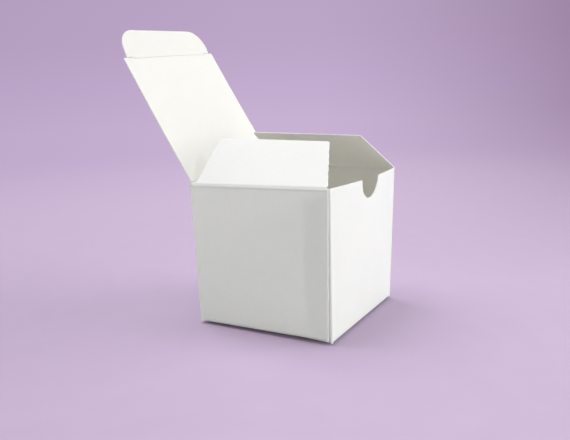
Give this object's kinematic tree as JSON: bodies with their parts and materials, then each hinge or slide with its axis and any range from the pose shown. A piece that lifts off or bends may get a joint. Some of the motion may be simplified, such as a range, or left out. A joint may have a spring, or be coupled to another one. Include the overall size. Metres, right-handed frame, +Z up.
{
  "type": "tuck-top paperboard carton",
  "caption": "Small cube carton of white paperboard, open: hinged lid with tuck flap, dust flaps, thumb notch in the front wall, snap-lock bottom.",
  "frame": {"origin": "middle of the foot, on the surface the box stands on", "axes": "+Z up out of the mouth; the front wall with the thumb notch faces -Y, and the lid folds on the back wall at +Y"},
  "size_m": [0.0761, 0.1226, 0.1499],
  "materials": {
    "board": "smooth matte white",
    "board_inside": "uncoated, slightly warm white",
    "glue": "dried carton glue"
  },
  "bodies": {
    "carton": {"front_wall": "board", "back_wall": "board", "left_wall": "board", "right_wall": "board", "front_right_fold": "board", "back_right_fold": "board", "back_left_fold": "board", "glue_tab_fold": "board", "glue_tab": "board_inside", "glue_strip": "glue", "lid_fold": "board", "left_dust_fold": "board", "right_dust_fold": "board", "bottom_tongue_panel": "board", "bottom_slot_panel": "board", "bottom_left_flap": "board", "bottom_right_flap": "board"},
    "lid": {"lid_panel": "board", "tuck_fold": "board"},
    "tuck": {"tuck_flap": "board"},
    "left_dust": {"left_dust_flap": "board"},
    "right_dust": {"right_dust_flap": "board"}
  },
  "joints": [
    {"name": "lid_hinge", "type": "hinge", "parent": "carton", "child": "lid", "pos_m": [0, 0.03692, 0.07307], "axis": [-0.9997, 0.0224, 0], "range_deg": [-122, 78]},
    {"name": "tuck_hinge", "type": "hinge", "parent": "lid", "child": "tuck", "pos_m": [0.00088, 0.07607, 0.13574], "axis": [-0.9997, 0.0224, 0], "range_deg": [-79.2, 50.7]},
    {"name": "left_dust_hinge", "type": "hinge", "parent": "carton", "child": "left_dust", "pos_m": [-0.03777, 0, 0.07247], "axis": [0, -1, 0], "range_deg": [-59.9, 38.3]},
    {"name": "right_dust_hinge", "type": "hinge", "parent": "carton", "child": "right_dust", "pos_m": [0.03777, -0.00169, 0.07247], "axis": [0, 1, 0], "range_deg": [-59.9, 38.3]}
  ],
  "couplings": [
    {"joint": "tuck_hinge", "follows": "lid_hinge", "ratio": 0.648},
    {"joint": "left_dust_hinge", "follows": "lid_hinge", "ratio": 0.49},
    {"joint": "right_dust_hinge", "follows": "lid_hinge", "ratio": 0.49}
  ]
}
